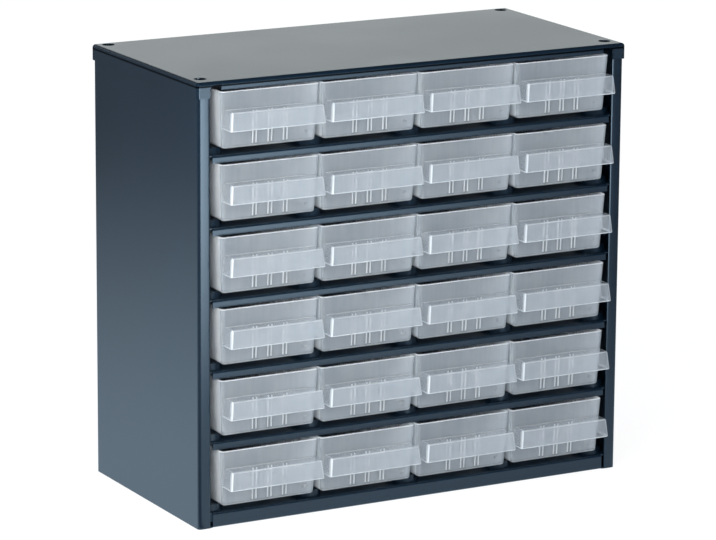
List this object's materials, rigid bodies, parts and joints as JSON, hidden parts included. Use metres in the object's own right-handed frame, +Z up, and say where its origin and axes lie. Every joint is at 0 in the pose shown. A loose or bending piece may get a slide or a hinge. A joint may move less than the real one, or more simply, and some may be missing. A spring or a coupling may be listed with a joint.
{
  "type": "small-parts drawer cabinet",
  "caption": "Folded sheet steel cabinet with rows of translucent pull-out drawers, each with a hooded grip, for screws and other small parts.",
  "frame": {"origin": "on the resting plane, below the middle of the closed cabinet and its grips", "axes": "+X to the right along the width, +Y to the back, +Z up"},
  "size_m": [0.306, 0.1644, 0.282],
  "materials": {
    "steel": "dark slate-blue powder coat, satin",
    "polypropylene": "milky translucent injection-moulded polypropylene"
  },
  "bodies": {
    "cabinet": {"top_cover": "steel", "left_side_panel": "steel", "right_side_panel": "steel", "back_panel": "steel", "floor_panel": "steel", "shelf_1": "steel", "shelf_2": "steel", "shelf_3": "steel", "shelf_4": "steel", "shelf_5": "steel"},
    "drawer_r1c1": {"drawer_r1c1": "polypropylene"},
    "drawer_r1c2": {"drawer_r1c2": "polypropylene"},
    "drawer_r1c3": {"drawer_r1c3": "polypropylene"},
    "drawer_r1c4": {"drawer_r1c4": "polypropylene"},
    "drawer_r2c1": {"drawer_r2c1": "polypropylene"},
    "drawer_r2c2": {"drawer_r2c2": "polypropylene"},
    "drawer_r2c3": {"drawer_r2c3": "polypropylene"},
    "drawer_r2c4": {"drawer_r2c4": "polypropylene"},
    "drawer_r3c1": {"drawer_r3c1": "polypropylene"},
    "drawer_r3c2": {"drawer_r3c2": "polypropylene"},
    "drawer_r3c3": {"drawer_r3c3": "polypropylene"},
    "drawer_r3c4": {"drawer_r3c4": "polypropylene"},
    "drawer_r4c1": {"drawer_r4c1": "polypropylene"},
    "drawer_r4c2": {"drawer_r4c2": "polypropylene"},
    "drawer_r4c3": {"drawer_r4c3": "polypropylene"},
    "drawer_r4c4": {"drawer_r4c4": "polypropylene"},
    "drawer_r5c1": {"drawer_r5c1": "polypropylene"},
    "drawer_r5c2": {"drawer_r5c2": "polypropylene"},
    "drawer_r5c3": {"drawer_r5c3": "polypropylene"},
    "drawer_r5c4": {"drawer_r5c4": "polypropylene"},
    "drawer_r6c1": {"drawer_r6c1": "polypropylene"},
    "drawer_r6c2": {"drawer_r6c2": "polypropylene"},
    "drawer_r6c3": {"drawer_r6c3": "polypropylene"},
    "drawer_r6c4": {"drawer_r6c4": "polypropylene"}
  },
  "joints": [
    {"name": "drawer_r1c1_slide", "type": "slide", "parent": "cabinet", "child": "drawer_r1c1", "axis": [0, -1, 0], "range_m": [0, 0.1238]},
    {"name": "drawer_r1c2_slide", "type": "slide", "parent": "cabinet", "child": "drawer_r1c2", "axis": [0, -1, 0], "range_m": [0, 0.1238]},
    {"name": "drawer_r1c3_slide", "type": "slide", "parent": "cabinet", "child": "drawer_r1c3", "axis": [0, -1, 0], "range_m": [0, 0.1238]},
    {"name": "drawer_r1c4_slide", "type": "slide", "parent": "cabinet", "child": "drawer_r1c4", "axis": [0, -1, 0], "range_m": [0, 0.1238]},
    {"name": "drawer_r2c1_slide", "type": "slide", "parent": "cabinet", "child": "drawer_r2c1", "axis": [0, -1, 0], "range_m": [0, 0.1238]},
    {"name": "drawer_r2c2_slide", "type": "slide", "parent": "cabinet", "child": "drawer_r2c2", "axis": [0, -1, 0], "range_m": [0, 0.1238]},
    {"name": "drawer_r2c3_slide", "type": "slide", "parent": "cabinet", "child": "drawer_r2c3", "axis": [0, -1, 0], "range_m": [0, 0.1238]},
    {"name": "drawer_r2c4_slide", "type": "slide", "parent": "cabinet", "child": "drawer_r2c4", "axis": [0, -1, 0], "range_m": [0, 0.1238]},
    {"name": "drawer_r3c1_slide", "type": "slide", "parent": "cabinet", "child": "drawer_r3c1", "axis": [0, -1, 0], "range_m": [0, 0.1238]},
    {"name": "drawer_r3c2_slide", "type": "slide", "parent": "cabinet", "child": "drawer_r3c2", "axis": [0, -1, 0], "range_m": [0, 0.1238]},
    {"name": "drawer_r3c3_slide", "type": "slide", "parent": "cabinet", "child": "drawer_r3c3", "axis": [0, -1, 0], "range_m": [0, 0.1238]},
    {"name": "drawer_r3c4_slide", "type": "slide", "parent": "cabinet", "child": "drawer_r3c4", "axis": [0, -1, 0], "range_m": [0, 0.1238]},
    {"name": "drawer_r4c1_slide", "type": "slide", "parent": "cabinet", "child": "drawer_r4c1", "axis": [0, -1, 0], "range_m": [0, 0.1238]},
    {"name": "drawer_r4c2_slide", "type": "slide", "parent": "cabinet", "child": "drawer_r4c2", "axis": [0, -1, 0], "range_m": [0, 0.1238]},
    {"name": "drawer_r4c3_slide", "type": "slide", "parent": "cabinet", "child": "drawer_r4c3", "axis": [0, -1, 0], "range_m": [0, 0.1238]},
    {"name": "drawer_r4c4_slide", "type": "slide", "parent": "cabinet", "child": "drawer_r4c4", "axis": [0, -1, 0], "range_m": [0, 0.1238]},
    {"name": "drawer_r5c1_slide", "type": "slide", "parent": "cabinet", "child": "drawer_r5c1", "axis": [0, -1, 0], "range_m": [0, 0.1238]},
    {"name": "drawer_r5c2_slide", "type": "slide", "parent": "cabinet", "child": "drawer_r5c2", "axis": [0, -1, 0], "range_m": [0, 0.1238]},
    {"name": "drawer_r5c3_slide", "type": "slide", "parent": "cabinet", "child": "drawer_r5c3", "axis": [0, -1, 0], "range_m": [0, 0.1238]},
    {"name": "drawer_r5c4_slide", "type": "slide", "parent": "cabinet", "child": "drawer_r5c4", "axis": [0, -1, 0], "range_m": [0, 0.1238]},
    {"name": "drawer_r6c1_slide", "type": "slide", "parent": "cabinet", "child": "drawer_r6c1", "axis": [0, -1, 0], "range_m": [0, 0.1238]},
    {"name": "drawer_r6c2_slide", "type": "slide", "parent": "cabinet", "child": "drawer_r6c2", "axis": [0, -1, 0], "range_m": [0, 0.1238]},
    {"name": "drawer_r6c3_slide", "type": "slide", "parent": "cabinet", "child": "drawer_r6c3", "axis": [0, -1, 0], "range_m": [0, 0.1238]},
    {"name": "drawer_r6c4_slide", "type": "slide", "parent": "cabinet", "child": "drawer_r6c4", "axis": [0, -1, 0], "range_m": [0, 0.1238]}
  ]
}
